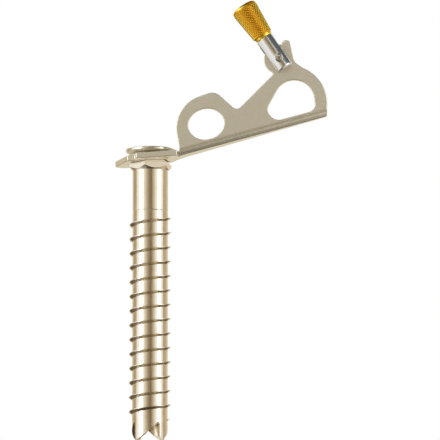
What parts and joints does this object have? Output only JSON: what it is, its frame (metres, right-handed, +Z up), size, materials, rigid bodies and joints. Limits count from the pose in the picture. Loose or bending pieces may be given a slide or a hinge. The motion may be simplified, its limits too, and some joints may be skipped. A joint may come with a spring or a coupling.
{
  "type": "ice climbing screw",
  "caption": "Tubular ice screw with cutting teeth, a raised helical thread, a bent two-eye hanger and a folding crank with a free-turning knurled knob.",
  "frame": {"origin": "on the tube's axis at the top of the hexagonal collar, where the hanger seats", "axes": "+Z up the tube's axis away from the teeth, +X along the hanger's arm, +Y to the back, away from the web"},
  "size_m": [0.0994, 0.0336, 0.2055],
  "materials": {
    "tube_steel": "polished, faint warm tone",
    "ring_steel": "turned and polished",
    "hanger_steel": "satin, tumbled",
    "stem_steel": "polished",
    "spring_steel": "drawn wire",
    "knob_aluminium": "gold anodised, diamond knurl"
  },
  "bodies": {
    "screw": {"screw_tube": "tube_steel", "head_ring": "ring_steel", "hanger": "hanger_steel", "hanger_flange": "hanger_steel"},
    "crank": {"crank_stem": "stem_steel", "pivot_pin": "stem_steel", "detent_spring": "spring_steel", "knob_washer": "stem_steel", "knob_screw": "stem_steel"},
    "plunger": {"detent_plunger": "stem_steel"},
    "knob": {"knob": "knob_aluminium"}
  },
  "joints": [
    {"name": "knob_fold", "type": "hinge", "parent": "screw", "child": "crank", "pos_m": [0.0601, -0.0137, 0.04761], "axis": [0, -1, 0], "range_deg": [-34, 92]},
    {"name": "knob_spin", "type": "hinge", "parent": "crank", "child": "knob", "pos_m": [0.05334, -0.0137, 0.05765], "axis": [-0.5592, 0, 0.829], "continuous": true},
    {"name": "detent_slide", "type": "slide", "parent": "crank", "child": "plunger", "axis": [-0.5592, 0, 0.829], "range_m": [0, 0.0005], "stiffness_N_per_m": 200, "deforming": ["detent_spring"]}
  ]
}
